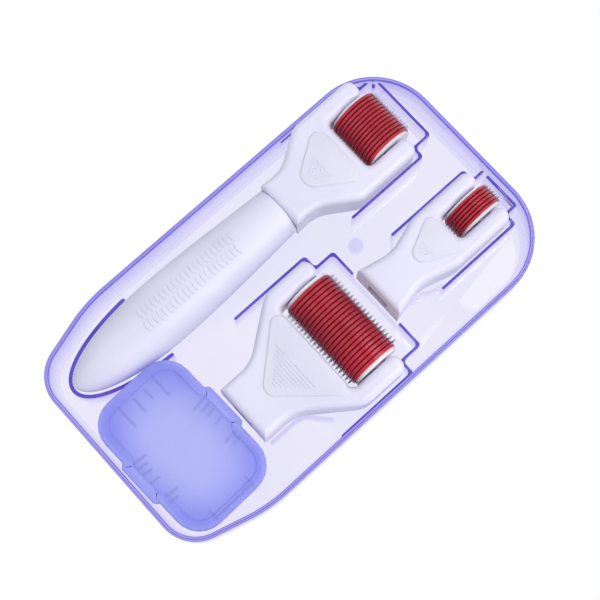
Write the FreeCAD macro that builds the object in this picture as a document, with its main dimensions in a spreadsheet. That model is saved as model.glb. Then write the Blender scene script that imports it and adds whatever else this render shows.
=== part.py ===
"""Micro-needle roller kit: storage tray, handle with its face head, two spare heads and a
cleaning tank.

Frame: +X along the tray towards the rollers, +Z up, origin on the resting plane under the
middle of the tray. Every size is a cell of the sheet "Sizes", in millimetres or degrees.
"""

import FreeCAD, Part
import math
import os

import Sketcher

UP = FreeCAD.Vector(0, 0, 1)
EAST = FreeCAD.Vector(1, 0, 0)
NORTH = FreeCAD.Vector(0, 1, 0)
ALONG_Y = FreeCAD.Rotation(EAST, -90)

doc = FreeCAD.newDocument("DermaRollerKit")
sheet = doc.addObject("Spreadsheet::Sheet", "Sizes")

SIZES = [
    # tray
    ("case_length", 175.0, "tray over its rim, along X"),
    ("case_width", 99.5, "tray over its rim, along Y"),
    ("case_height", 20.0, "resting plane to rim"),
    ("case_draft", 0.5, "outside wall's slope"),
    ("right_corner", 26.0, "outline radius at the roller end"),
    ("left_corner", 15.0, "outline radius at the tank end"),
    ("sweep_radius", 60.0, "soft bend where the long side starts to sweep in"),
    ("sweep_length", 31.8, "swept part of each long side, along X"),
    ("sweep_depth", 8.9, "how far the sweep comes in, along Y"),
    ("rim_width", 1.7, "land on top of the wall"),
    ("rim_step_width", 0.7, "rebate around the land that locates a lid"),
    ("rim_step_depth", 1.1, "depth of that rebate"),
    ("inner_draft", 4.0, "inside wall's slope"),
    ("floor_depth", 14.0, "rim to the raised floor"),
    ("floor_thickness", 1.8, "moulded floor"),
    ("floor_step", 1.2, "rise of the floor under the heads"),
    ("step_x", -23.8, "foot of the floor's step"),
    ("step_run", 3.3, "length of the sloping step, along X"),
    ("skirt_wall", 1.8, "outside wall at the resting plane"),
    # ribs
    ("rib_thickness", 1.1, "upstanding ribs"),
    ("rib_height", 11.5, "ribs above the raised floor"),
    ("rib_root", 0.5, "how far a rib runs into the floor"),
    ("boss_diameter", 5.6, "round boss between the heads"),
    ("boss_x", 31.9, "boss, along X"),
    ("boss_y", 1.1, "boss, along Y"),
    ("boss_height", 8.0, "boss above the raised floor"),
    ("saddle_width", 9.0, "rests under the necks, along Y"),
    ("saddle_length", 3.0, "rests under the necks, along X"),
    ("seat_gap", 0.3, "piece to its rest"),
    ("notch_gap", 0.8, "eye head's neck to the notch in the body pocket"),
    ("guide_gap", 0.6, "body head's neck to its guides"),
    ("guide_length", 9.0, "those guides, along X"),
    ("guide_height", 10.0, "those guides, above the low floor"),
    ("fence_gap", 0.7, "handle's end to the fence around it"),
    ("fence_length", 34.0, "fence, along X from the handle's end"),
    # shared by the heads
    ("axis_height", 19.2, "roller axles and handle above the resting plane"),
    ("fork_height", 15.8, "head's body, along Z"),
    ("fork_edge", 2.6, "rounding of a head's top and bottom edges"),
    ("axle_diameter", 2.4, "steel axle"),
    ("axle_seat", 3.2, "axle's depth in each arm"),
    ("axle_fit", 0.02, "axle to its hole in an arm, on the radius"),
    ("bore_clearance", 0.05, "drum to axle, on the radius"),
    ("ring_diameter", 20.0, "red spacer rings"),
    ("ring_chamfer", 0.25, "edge of a spacer ring"),
    ("disc_thickness", 0.28, "needle discs"),
    ("cap_diameter", 18.6, "white drum ends"),
    ("cap_chamfer", 0.4, "edge of a drum end"),
    ("cap_hub_diameter", 6.0, "hub that spaces the drum from the arm"),
    ("cap_hub_length", 0.45, "hub's length"),
    ("arm_clearance", 0.25, "hub to arm"),
    ("needles", 60.0, "needles around one disc"),
    ("needle_root", 0.42, "needle's width where it leaves the disc"),
    ("needle_disc_diameter", 19.6, "disc at the roots of its needles"),
    ("socket_width", 9.6, "socket for the handle's plug, along Y"),
    ("socket_height", 6.8, "socket, along Z"),
    ("socket_depth", 16.0, "socket, along X"),
    ("waist_radius", 14.0, "soft bend from neck to flare"),
    ("shoulder_radius", 9.0, "soft bend from flare to arm"),
    ("tip_radius", 3.4, "rounding of an arm's end, outside"),
    ("tip_inner_radius", 3.0, "the same, at the roller"),
    ("window_radius", 2.5, "rounding of the roller's window"),
    # handle
    ("handle_y", 27.9, "handle and face head's axis, along Y"),
    ("seam_x", 18.2, "joint of handle and head"),
    ("seam_gap", 0.15, "shadow gap at that joint"),
    ("handle_length", 96.3, "seam to handle's end"),
    ("seam_width", 19.7, "handle at the seam"),
    ("waist_width", 22.0, "handle between the seam and the palm"),
    ("waist_distance", 23.0, "seam to that place"),
    ("palm_width", 24.6, "widest place"),
    ("palm_distance", 54.8, "seam to the widest place"),
    ("tail_width", 20.6, "handle where its end starts to round off"),
    ("tail_distance", 78.0, "seam to that place"),
    ("handle_wall", 2.0, "moulded halves"),
    ("bulkhead", 4.0, "wall behind the seam"),
    ("shell_gap", 0.06, "parting line between the halves"),
    ("plug_clearance", 0.12, "plug to socket, each side"),
    ("plug_flange", 1.0, "flange that the halves trap, each side"),
    ("plug_flange_length", 5.0, "flange, along X"),
    ("plug_end_gap", 1.0, "plug's nose to the socket's bottom"),
    # tank
    ("tank_x", -63.7, "tank's middle, along X"),
    ("tank_y", -12.9, "tank's middle, along Y"),
    ("tank_turn", 1.5, "how far it lies askew"),
    ("tank_width", 38.4, "lid, along X"),
    ("tank_length", 57.2, "lid, along Y"),
    ("tank_corner", 10.5, "lid's corner radius"),
    ("tank_height", 20.2, "floor to lid's top"),
    ("tank_wall", 1.4, "cup's wall"),
    ("tank_draft", 4.0, "cup's slope"),
    ("cup_inset", 1.6, "cup's edge inside the lid's edge"),
    ("tab_length", 17.5, "finger tabs along the lid's long sides"),
    ("tab_depth", 1.6, "how far they stand out"),
    ("tab_corner", 3.0, "rounding of the tabs"),
    ("lid_thickness", 1.6, "lid's plate"),
    ("lid_bevel", 0.9, "slope around the lid's plate"),
    ("lid_bevel_angle", 60.0, "that slope, off the upright"),
    ("lid_skirt", 4.0, "skirt below the plate"),
    ("lid_skirt_wall", 1.2, "skirt's thickness"),
    ("lid_gap", 0.3, "skirt to cup"),
    ("tank_rib_length", 6.0, "ribs inside the cup, from the wall inwards"),
    ("tank_rib_height", 11.0, "ribs above the cup's floor"),
    ("tank_rib_spacing", 7.0, "pitch of the ribs"),
]

# Each head: sizes that differ. x runs from the neck's end, y from the head's own axis.
HEADS = {
    "face": {
        "start_x": 18.35, "centre_y": 27.9, "neck_width": 19.7, "waist_width": 19.0,
        "waist_x": 9.5, "flare_x": 23.5, "arms_width": 37.2, "window_x": 33.4, "length": 51.3,
        "axle_x": 45.2, "discs": 12.0, "ring_width": 1.226, "cap_width": 0.75,
        "needle_length": 1.3, "pocket_left": 36.4, "pocket_shoulder": 71.3,
        "pocket_right": 79.0, "arm_rib": 0.9, "roller_rib": 4.25, "saddle_x": 12.0,
    },
    "body": {
        "start_x": -41.3, "centre_y": -19.3, "neck_width": 23.4, "waist_width": 23.4,
        "waist_x": 14.0, "flare_x": 34.0, "arms_width": 53.0, "window_x": 34.2, "length": 53.9,
        "axle_x": 46.7, "discs": 20.0, "ring_width": 1.395, "cap_width": 1.2,
        "needle_length": 1.9, "pocket_left": -20.3, "pocket_shoulder": 13.6,
        "pocket_right": 22.4, "arm_rib": 1.9, "roller_rib": 3.65, "saddle_x": 7.0,
    },
    "eye": {
        "start_x": 22.9, "centre_y": -19.4, "neck_width": 21.6, "waist_width": 15.8,
        "waist_x": 13.7, "flare_x": 27.5, "arms_width": 24.0, "window_x": 34.8, "length": 54.7,
        "axle_x": 46.9, "discs": 5.0, "ring_width": 1.083, "cap_width": 0.8,
        "needle_length": 0.9, "pocket_left": 42.5, "pocket_shoulder": 78.6,
        "pocket_right": 86.4, "arm_rib": 1.4, "roller_rib": 3.45, "saddle_x": 12.0,
    },
}


# Sizes that follow from others.
DERIVED = {
    "raised_floor": "case_height - floor_depth",
    "low_floor": "raised_floor - floor_step",
    "fork_bottom": "axis_height - fork_height / 2",
    "handle_flatness": "fork_height / seam_width",
    "plug_width": "socket_width - 2 * plug_clearance",
    "plug_height": "socket_height - 2 * plug_clearance",
    "tank_base": "low_floor + seat_gap",
    "handle_rest_tail": "axis_height - tail_width / 2 * handle_flatness",
    "handle_rest_palm": "axis_height - palm_width / 2 * handle_flatness",
}
for name in HEADS:
    DERIVED[f"{name}_rings_half"] = (
        f"( {name}_discs * disc_thickness + ( {name}_discs + 1 ) * {name}_ring_width ) / 2")
    DERIVED[f"{name}_drum_half"] = f"{name}_rings_half + {name}_cap_width"
    DERIVED[f"{name}_gap_half"] = f"{name}_drum_half + cap_hub_length + arm_clearance"
    DERIVED[f"{name}_axle_at"] = f"{name}_start_x + {name}_axle_x"

ALIASES = {row[0] for row in SIZES}
ALIASES |= {f"{head}_{name}" for head, sizes in HEADS.items() for name in sizes}


def fill_sheet():
    """One row per size: name, value and what it is."""
    rows = list(SIZES)
    for head, sizes in HEADS.items():
        rows += [(f"{head}_{name}", value, f"{head} head") for name, value in sizes.items()]
    for row, (alias, value, note) in enumerate(rows, start=1):
        sheet.set(f"A{row}", note)
        sheet.set(f"B{row}", str(value))
        sheet.setAlias(f"B{row}", alias)


def bound(text):
    """An expression in the sheet's names, written as FreeCAD binds it."""
    words = []
    for word in str(text).split():
        named = word.lstrip("-")
        sign = word[:len(word) - len(named)]
        if named in DERIVED:
            words.append(f"{sign}( {bound(DERIVED[named])} )")
        elif named in ALIASES:
            words.append(f"{sign}Sizes.{named}")
        else:
            words.append(word)
    return " ".join(words)


def size(text):
    """The value that an expression in the sheet's names has now."""
    value = sheet.evalExpression(bound(text))
    return float(getattr(value, "Value", value))


def bind(thing, prop, text):
    thing.setExpression(prop, bound(text))


def place(thing, x=None, y=None, z=None):
    """Bind a thing's place, axis by axis."""
    for axis, text in (("x", x), ("y", y), ("z", z)):
        if text is not None:
            bind(thing, f"Placement.Base.{axis}", text)
    return thing


def box(name, length, width, height, x, y, z):
    """A block between x, y, z and the far corner."""
    block = doc.addObject("Part::Box", name)
    for prop, text in (("Length", length), ("Width", width), ("Height", height)):
        bind(block, prop, text)
    return place(block, x, y, z)


def cylinder(name, diameter, height, x, y, z, turn=None):
    """A round bar that starts at x, y, z."""
    bar = doc.addObject("Part::Cylinder", name)
    if turn is not None:
        bar.Placement.Rotation = turn
    bind(bar, "Radius", f"{diameter} / 2")
    bind(bar, "Height", height)
    return place(bar, x, y, z)


def fuse(name, things):
    joined = doc.addObject("Part::MultiFuse", name)
    joined.Shapes = things
    return joined


def cut(name, base, tool):
    left = doc.addObject("Part::Cut", name)
    left.Base = base
    left.Tool = tool
    return left


def common(name, things):
    shared = doc.addObject("Part::MultiCommon", name)
    shared.Shapes = things
    return shared


def corner_geometry(before, corner, after, radius):
    """Tangent points and arc of a rounded corner, and whether the outline turns left."""
    to_before = (before - corner).normalize()
    to_after = (after - corner).normalize()
    half = to_before.getAngle(to_after) / 2
    reach = radius / math.tan(half)
    centre = corner + (to_before + to_after).normalize() * (radius / math.sin(half))
    first = corner + to_before * reach
    last = corner + to_after * reach
    left = (corner - before).cross(after - corner).z > 0
    start, end = (first, last) if left else (last, first)
    begin = math.atan2(start.y - centre.y, start.x - centre.x)
    finish = math.atan2(end.y - centre.y, end.x - centre.x)
    arc = Part.ArcOfCircle(Part.Circle(centre, UP, radius), begin, finish)
    return first, last, arc, left


def outline(sketch, corners):
    """A closed outline through corners (x, y, radius), each bound to the sheet."""
    points = [FreeCAD.Vector(size(x), size(y), 0) for x, y, _ in corners]
    count = len(corners)
    ends = []
    for i, (_, _, radius) in enumerate(corners):
        if radius is None:
            ends.append((points[i], points[i], None, True))
        else:
            around = points[i - 1], points[i], points[(i + 1) % count]
            ends.append(corner_geometry(*around, size(radius)))
    lines = [sketch.addGeometry(Part.LineSegment(ends[i][1], ends[(i + 1) % count][0]), False)
             for i in range(count)]
    for i, (x, y, radius) in enumerate(corners):
        before, after = lines[i - 1], lines[i]
        if radius is None:
            sketch.addConstraint(Sketcher.Constraint("Coincident", before, 2, after, 1))
            mark = (after, 1)
        else:
            arc = sketch.addGeometry(ends[i][2], False)
            first, last = (1, 2) if ends[i][3] else (2, 1)
            sketch.addConstraint(Sketcher.Constraint("Tangent", before, 2, arc, first))
            sketch.addConstraint(Sketcher.Constraint("Tangent", after, 1, arc, last))
            bend = sketch.addConstraint(Sketcher.Constraint("Radius", arc, size(radius)))
            bind(sketch, f"Constraints[{bend}]", radius)
            dot = sketch.addGeometry(Part.Point(points[i]), True)
            sketch.addConstraint(Sketcher.Constraint("PointOnObject", dot, 1, before))
            sketch.addConstraint(Sketcher.Constraint("PointOnObject", dot, 1, after))
            mark = (dot, 1)
        for kind, text in (("DistanceX", x), ("DistanceY", y)):
            where = Sketcher.Constraint(kind, -1, 1, *mark, size(text))
            bind(sketch, f"Constraints[{sketch.addConstraint(where)}]", text)
    return sketch


def plan_sketch(name, corners, height):
    """An outline on a level plane."""
    sketch = doc.addObject("Sketcher::SketchObject", name)
    outline(sketch, corners)
    return place(sketch, z=height)


def inset(name, source, text):
    """The outline of a sketch, moved inwards."""
    ring = doc.addObject("Part::Offset2D", name)
    ring.Source = source
    ring.Mode = "Pipe"
    ring.Join = "Intersection"
    bind(ring, "Value", f"-( {text} )")
    return ring


def extrude(name, base, direction, length, taper=None):
    """A solid swept from a flat outline, narrowing by the taper's angle."""
    solid = doc.addObject("Part::Extrusion", name)
    solid.Base = base
    solid.DirMode = "Custom"
    solid.Dir = direction
    solid.Solid = True
    bind(solid, "LengthFwd", length)
    if taper:
        bind(solid, "TaperAngle", f"-{taper}")
    return solid


def role_plane(body, role):
    return next(plane for plane in body.Origin.OriginFeatures if plane.Role == role)


def body_sketch(body, name, corners, role="XY_Plane"):
    sketch = body.newObject("Sketcher::SketchObject", name)
    sketch.AttachmentSupport = [(role_plane(body, role), "")]
    sketch.MapMode = "FlatFace"
    return outline(sketch, corners)


def level_faces(feature):
    """Names of a feature's top and bottom faces."""
    box_ = feature.Shape.BoundBox
    names = []
    for number, face in enumerate(feature.Shape.Faces, start=1):
        spot = face.CenterOfMass
        flat = face.BoundBox.ZLength < 1e-6
        if flat and min(abs(spot.z - box_.ZMin), abs(spot.z - box_.ZMax)) < 1e-6:
            names.append(f"Face{number}")
    return names


# ---------------------------------------------------------------------------- tray

def case_corners():
    """The rim's outline: square-shouldered at the rollers, swept in at the tank."""
    side = "case_width / 2"
    end = "case_length / 2"
    top = [
        (end, side, "right_corner"),
        (f"sweep_length - {end}", side, "sweep_radius"),
        (f"-{end}", f"{side} - sweep_depth", "left_corner"),
    ]
    bottom = [(x, f"-( {y} )", radius) for x, y, radius in reversed(top)]
    return top + bottom


def rib_block(name, x_from, x_to, y_from, y_to):
    """One straight rib between two centre-line points, standing on the raised floor."""
    half = "rib_thickness / 2"
    return box(name, f"{x_to} - ( {x_from} ) + rib_thickness",
               f"{y_to} - ( {y_from} ) + rib_thickness", "rib_height + rib_root",
               f"{x_from} - {half}", f"{y_from} - {half}", "raised_floor - rib_root")


def head_pocket(head):
    """The stepped rib around a head: wide at its arms, narrower at its roller."""
    middle = f"{head}_centre_y"
    wide = f"( {head}_arms_width / 2 + {head}_arm_rib )"
    narrow = f"( {head}_drum_half + {head}_roller_rib )"
    left, shoulder, right = (f"{head}_pocket_{part}" for part in ("left", "shoulder", "right"))
    ribs = []
    for side, sign in (("north", "+"), ("south", "-")):
        outer = f"{middle} {sign} {wide}"
        inner = f"{middle} {sign} {narrow}"
        low, high = (inner, outer) if side == "north" else (outer, inner)
        ribs += [
            rib_block(f"{head}_{side}_arm_rib", left, shoulder, outer, outer),
            rib_block(f"{head}_{side}_shoulder_rib", shoulder, shoulder, low, high),
            rib_block(f"{head}_{side}_roller_rib", shoulder, right, inner, inner),
        ]
    end_rib = rib_block(f"{head}_end_rib", right, right,
                        f"{middle} - {narrow}", f"{middle} + {narrow}")
    return ribs + [end_rib]


def make_tray():
    """Drafted skirt and wall, stepped floor, and the ribs that keep every piece in its place."""
    rim = plan_sketch("rim_outline", case_corners(), "case_height")
    shell = extrude("tray_outside", rim, -UP, "case_height", "case_draft")
    mouth = inset("mouth_outline", rim, "rim_width")
    right_hollow = extrude("tray_inside", mouth, -UP, "floor_depth", "inner_draft")
    left_hollow = extrude("tray_deep_inside", mouth, -UP, "floor_depth + floor_step",
                          "inner_draft")
    left_side = step_block("left_side")
    deep = common("low_compartment", [left_hollow, left_side])

    foot = plan_sketch("foot_outline", case_corners(), "-1")
    foot_inside = inset("skirt_outline", foot, "skirt_wall + case_height * tan( case_draft )")
    under = extrude("under_floor", foot_inside, UP, "low_floor - floor_thickness + 1")
    under_right = extrude("under_raised_floor", foot_inside, UP,
                          "raised_floor - floor_thickness + 1")
    right_side = box("right_side", "case_length", "case_width", "case_height",
                     "step_x + step_run", "-case_width / 2", "-case_height / 2")
    under_raised = common("under_right", [under_right, right_side])

    land = inset("land_outline", rim, "rim_step_width")
    land_core = extrude("rim_land", land, -UP, "rim_step_depth")
    rebate_block = extrude("rim_block", rim, -UP, "rim_step_depth")
    rebate = cut("rim_rebate", rebate_block, land_core)

    hollows = fuse("tray_hollows", [right_hollow, deep, under, under_raised, rebate])
    walls = cut("tray_walls", shell, hollows)

    ribs = []
    for head in HEADS:
        ribs += head_pocket(head)
    ribs.append(cylinder("tray_boss", "boss_diameter", "boss_height + rib_root",
                         "boss_x", "boss_y", "raised_floor - rib_root"))
    keep = common("ribs_inside", [fuse("ribs", ribs), shell])
    trimmed = cut("ribs_trimmed", keep, neck_notch())
    everything = [walls, trimmed] + saddles() + [handle_fence()] + neck_guides()
    return fuse("case_tray", everything)


def step_block(name):
    """Everything left of the floor's sloping step."""
    sketch = doc.addObject("Sketcher::SketchObject", name + "_outline")
    sketch.Placement.Rotation = FreeCAD.Rotation(EAST, 90)
    far = "-case_length"
    outline(sketch, [
        (far, "0", None),
        ("step_x", "0", None),
        ("step_x", "low_floor", None),
        ("step_x + step_run", "raised_floor", None),
        ("step_x + step_run", "case_height + 1", None),
        (far, "case_height + 1", None),
    ])
    place(sketch, y="case_width / 2")
    return extrude(name, sketch, -NORTH, "case_width")


def saddles():
    """Low rests under the handle and the necks of the heads."""
    rests = []
    spots = [
        ("tail", "seam_x - tail_distance - saddle_length", "handle_y", "low_floor",
         "handle_rest_tail"),
        ("palm", "step_x - saddle_length * 2", "handle_y", "low_floor", "handle_rest_palm"),
        ("body_neck", "body_start_x + body_saddle_x", "body_centre_y", "low_floor",
         "fork_bottom"),
        ("eye_neck", "eye_start_x + eye_saddle_x", "eye_centre_y", "raised_floor",
         "fork_bottom"),
        ("face_neck", "face_start_x + face_saddle_x", "face_centre_y", "raised_floor",
         "fork_bottom"),
    ]
    for name, x, y, floor, underside in spots:
        rests.append(box(f"{name}_saddle", "saddle_length", "saddle_width",
                         f"{underside} - seat_gap - ( {floor} ) + rib_root",
                         x, f"{y} - saddle_width / 2", f"{floor} - rib_root"))
    return rests


def neck_notch():
    """Gap in the body pocket's end, where the eye head's neck starts."""
    return box("neck_notch", "rib_thickness * 3", "eye_neck_width + 2 * notch_gap",
               "case_height", "body_pocket_right - rib_thickness * 1.5",
               "eye_centre_y - eye_neck_width / 2 - notch_gap", "fork_bottom - seat_gap")


def neck_guides():
    """Short upright guides either side of the body head's neck and along its flare."""
    guides = []
    half = "( body_neck_width / 2 + guide_gap + rib_thickness / 2 )"
    for side, sign in (("north", "+"), ("south", "-")):
        y = f"body_centre_y {sign} {half} - rib_thickness / 2"
        guides.append(box(f"{side}_neck_guide", "guide_length", "rib_thickness",
                          "guide_height + rib_root", "body_start_x + 1", y,
                          "low_floor - rib_root"))
    return guides


def profile_points(grow):
    """The handle's half width at its stations, as points in its own half plane."""
    seam = size("seam_x")
    stations = [
        (0.0, "seam_width"),
        (size("waist_distance"), "waist_width"),
        (size("palm_distance"), "palm_width"),
        (size("tail_distance"), "tail_width"),
    ]
    points = [FreeCAD.Vector(seam - along, size(width) / 2 + grow, 0)
              for along, width in stations]
    return points, FreeCAD.Vector(seam - size("handle_length") - grow, 0, 0)


def handle_curve(grow):
    """Smooth half profile from the seam to the handle's rounded end."""
    points, end = profile_points(grow)
    curve = Part.BSplineCurve()
    tangents = [FreeCAD.Vector(-1, 0.04, 0), FreeCAD.Vector(0, -1, 0)]
    curve.interpolate(points + [end], InitialTangent=tangents[0], FinalTangent=tangents[1])
    return curve.toShape()


def handle_solid(grow):
    """The handle's outside, or its inside when grow is negative."""
    curve = handle_curve(grow)
    first = curve.Vertexes[0].Point
    last = curve.Vertexes[-1].Point
    axis_point = FreeCAD.Vector(first.x, 0, 0)
    face = Part.Face(Part.Wire([curve, Part.makeLine(last, axis_point),
                                Part.makeLine(axis_point, first)]))
    turned = face.revolve(FreeCAD.Vector(), EAST, 360)
    squash = FreeCAD.Matrix()
    squash.scale(1, 1, size("handle_flatness"))
    solid = turned.transformGeometry(squash)
    solid.translate(FreeCAD.Vector(0, size("handle_y"), size("axis_height")))
    return solid


def feature(name, shape):
    """A piece whose shape is worked out above from the sheet's values."""
    thing = doc.addObject("Part::Feature", name)
    thing.Shape = shape
    return thing


def handle_fence():
    """Upright fence that follows the handle's end at a steady gap."""
    def slab(grow):
        curve = handle_curve(grow)
        first = curve.Vertexes[0].Point
        last = curve.Vertexes[-1].Point
        axis_point = FreeCAD.Vector(first.x, 0, 0)
        half = Part.Face(Part.Wire([curve, Part.makeLine(last, axis_point),
                                    Part.makeLine(axis_point, first)]))
        solid = half.extrude(UP * (size("rib_height + floor_step + rib_root")))
        return solid.fuse(solid.mirror(FreeCAD.Vector(), NORTH))
    gap = size("fence_gap")
    ring = slab(gap + size("rib_thickness")).cut(slab(gap))
    end = size("seam_x - handle_length") - gap - size("rib_thickness")
    reach = size("fence_length")
    window = Part.makeBox(reach, 100, 100, FreeCAD.Vector(end - 1, -50, -50))
    fence = ring.common(window)
    fence.translate(FreeCAD.Vector(0, size("handle_y"), size("low_floor - rib_root")))
    return feature("handle_fence", fence)


# -------------------------------------------------------------------------- handle

def make_handle():
    """Two moulded halves that trap the plug for the heads."""
    outside = handle_solid(0)
    inside = handle_solid(-size("handle_wall"))
    seam = size("seam_x")
    y, z = size("handle_y"), size("axis_height")
    reach = size("handle_length") + 10
    front = seam - size("bulkhead")
    hollow = inside.common(Part.makeBox(reach, 100, 100,
                                        FreeCAD.Vector(front - reach, y - 50, z - 50)))
    width, height = size("plug_width"), size("plug_height")
    fit = size("plug_clearance") / 2
    opening = Part.makeBox(size("bulkhead") + 2, width + 2 * fit, height + 2 * fit,
                           FreeCAD.Vector(front - 1, y - width / 2 - fit, z - height / 2 - fit))
    shell = outside.cut(hollow).cut(opening)
    half_gap = size("shell_gap") / 2
    above = Part.makeBox(reach, 100, 50, FreeCAD.Vector(seam - reach + 1, y - 50, z + half_gap))
    below = Part.makeBox(reach, 100, 50,
                         FreeCAD.Vector(seam - reach + 1, y - 50, z - 50 - half_gap))
    upper = feature("handle_upper_shell", shell.common(above))
    lower = feature("handle_lower_shell", shell.common(below))
    flange = size("plug_flange")
    tongue = box("plug_tongue",
                 "plug_flange_length + bulkhead + socket_depth - plug_end_gap",
                 "plug_width", "plug_height", "seam_x - bulkhead - plug_flange_length",
                 "handle_y - plug_width / 2", "axis_height - plug_height / 2")
    collar = box("plug_collar", "plug_flange_length", "plug_width + 2 * plug_flange",
                 "plug_height + 1.2 * plug_flange",
                 "seam_x - bulkhead - plug_flange_length - plug_clearance",
                 "handle_y - plug_width / 2 - plug_flange",
                 "axis_height - plug_height / 2 - 0.6 * plug_flange")
    plug = fuse("handle_plug", [tongue, collar])
    return [upper, lower, plug]


# --------------------------------------------------------------------------- heads

def fork_outline(head):
    """Plan of a head about its own axis: neck, flare and two arms around the window."""
    def at(name):
        return f"{head}_{name}"
    half = [
        ("0", f"{at('neck_width')} / 2", None),
        (at("waist_x"), f"{at('waist_width')} / 2", "waist_radius"),
        (at("flare_x"), f"{at('arms_width')} / 2", "shoulder_radius"),
        (at("length"), f"{at('arms_width')} / 2", "tip_radius"),
        (at("length"), at("gap_half"), "tip_inner_radius"),
        (at("window_x"), at("gap_half"), "window_radius"),
    ]
    across = [(x, f"-( {y} )", radius) for x, y, radius in reversed(half)]
    return list(reversed(half + across))


def make_fork(head):
    """One head's body: a rounded fork with a socket in its neck and a seat in each arm."""
    name = f"{head}_head_fork"
    body = doc.addObject("PartDesign::Body", name)
    plan = body_sketch(body, f"{head}_fork_plan", fork_outline(head))
    slab = body.newObject("PartDesign::Pad", f"{head}_fork_slab")
    slab.Profile = plan
    slab.Midplane = True
    bind(slab, "Length", "fork_height")
    doc.recompute()
    soft = body.newObject("PartDesign::Fillet", f"{head}_fork_edges")
    soft.Base = (slab, level_faces(slab))
    bind(soft, "Radius", "fork_edge")
    doc.recompute()

    mouth = body_sketch(body, f"{head}_socket_mouth", [
        ("-1", "-socket_width / 2", None),
        ("socket_depth", "-socket_width / 2", None),
        ("socket_depth", "socket_width / 2", None),
        ("-1", "socket_width / 2", None),
    ])
    socket = body.newObject("PartDesign::Pocket", f"{head}_socket")
    socket.Profile = mouth
    socket.Midplane = True
    bind(socket, "Length", "socket_height")

    seats = body.newObject("Sketcher::SketchObject", f"{head}_axle_seat")
    seats.AttachmentSupport = [(role_plane(body, "XZ_Plane"), "")]
    seats.MapMode = "FlatFace"
    radius = size("axle_diameter / 2 + axle_fit")
    ring = seats.addGeometry(Part.Circle(FreeCAD.Vector(size(f"{head}_axle_x"), 0, 0), UP,
                                         radius), False)
    fit = seats.addConstraint(Sketcher.Constraint("Radius", ring, radius))
    bind(seats, f"Constraints[{fit}]", "axle_diameter / 2 + axle_fit")
    seats.addConstraint(Sketcher.Constraint("PointOnObject", ring, 3, -1))
    along = seats.addConstraint(Sketcher.Constraint("DistanceX", -1, 1, ring, 3,
                                                    size(f"{head}_axle_x")))
    bind(seats, f"Constraints[{along}]", f"{head}_axle_x")
    hole = body.newObject("PartDesign::Pocket", f"{head}_axle_seats")
    hole.Profile = seats
    hole.Midplane = True
    bind(hole, "Length", f"2 * ( {head}_gap_half + axle_seat )")
    doc.recompute()
    return place(body, f"{head}_start_x", f"{head}_centre_y", "axis_height")


def along_axle(name, head, diameter, start, length):
    """A round bar on a head's roller axis; start and length run along Y."""
    return cylinder(name, diameter, length, f"{head}_axle_at",
                    f"{head}_centre_y + {start}", "axis_height", ALONG_Y)


def make_axle(head):
    half = f"( {head}_gap_half + axle_seat - axle_fit )"
    return along_axle(f"{head}_axle", head, "axle_diameter", f"-{half}", f"2 * {half}")


def make_cap(head, side):
    """A white drum end with the hub that keeps it off the arm."""
    name = f"{head}_end_cap_{side}"
    inner = f"{head}_rings_half"
    hub = "cap_hub_length"
    if side == "left":
        spans = [(inner, f"{head}_cap_width"), (f"( {head}_drum_half )", hub)]
    else:
        spans = [(f"-( {head}_drum_half )", f"{head}_cap_width"),
                 (f"-( {head}_drum_half + {hub} )", hub)]
    plate = along_axle(name + "_plate", head, "cap_diameter", *spans[0])
    hub_bar = along_axle(name + "_hub", head, "cap_hub_diameter", *spans[1])
    solid = fuse(name + "_solid", [plate, hub_bar])
    bore = along_axle(name + "_bore", head, "( axle_diameter + 2 * bore_clearance )",
                      f"-( {head}_gap_half )", f"2 * ( {head}_gap_half )")
    return cut(name, solid, bore)


def placed_on_axle(head, pieces):
    """Pieces made about Z, turned onto a head's roller axis."""
    group = Part.makeCompound(pieces)
    middle = FreeCAD.Vector(size(f"{head}_axle_at"), size(f"{head}_centre_y"),
                            size("axis_height"))
    group.Placement = FreeCAD.Placement(middle, ALONG_Y)
    return group


def drum_stations(head):
    """Where each ring starts along the axle, from the drum's middle."""
    pitch = size(f"{head}_ring_width") + size("disc_thickness")
    first = -size(f"{head}_rings_half")
    return [first + pitch * i for i in range(int(size(f"{head}_discs")) + 1)]


def make_rings(head):
    """Red spacer rings, one more than there are needle discs."""
    outer, edge = size("ring_diameter / 2"), size("ring_chamfer")
    inner = size("axle_diameter / 2 + bore_clearance")
    width = size(f"{head}_ring_width")
    rings = []
    for start in drum_stations(head):
        section = Part.makePolygon([
            FreeCAD.Vector(inner, 0, start),
            FreeCAD.Vector(outer - edge, 0, start),
            FreeCAD.Vector(outer, 0, start + edge),
            FreeCAD.Vector(outer, 0, start + width - edge),
            FreeCAD.Vector(outer - edge, 0, start + width),
            FreeCAD.Vector(inner, 0, start + width),
            FreeCAD.Vector(inner, 0, start),
        ])
        rings.append(Part.Face(section).revolve(FreeCAD.Vector(), UP, 360))
    return feature(f"{head}_spacer_rings", placed_on_axle(head, rings))


def make_discs(head):
    """Thin steel discs, each a crown of pointed needles."""
    root = size("needle_disc_diameter / 2")
    tip = size(f"ring_diameter / 2 + {head}_needle_length")
    count = int(size("needles"))
    half_root = size("needle_root") / 2 / root
    thickness = size("disc_thickness")
    bore = Part.makeCylinder(size("axle_diameter / 2 + bore_clearance"), thickness)
    discs = []
    for number, start in enumerate(drum_stations(head)[:-1]):
        shift = math.pi / count * (number % 2)
        points = []
        for needle in range(count):
            angle = 2 * math.pi * needle / count + shift
            for radius, turn in ((root, -half_root), (tip, 0), (root, half_root)):
                points.append(FreeCAD.Vector(radius * math.cos(angle + turn),
                                             radius * math.sin(angle + turn), 0))
        crown = Part.Face(Part.makePolygon(points + points[:1])).extrude(UP * thickness)
        disc = crown.cut(bore)
        disc.translate(UP * (start + size(f"{head}_ring_width")))
        discs.append(disc)
    return feature(f"{head}_needle_discs", placed_on_axle(head, discs))


# ---------------------------------------------------------------------------- tank

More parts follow.
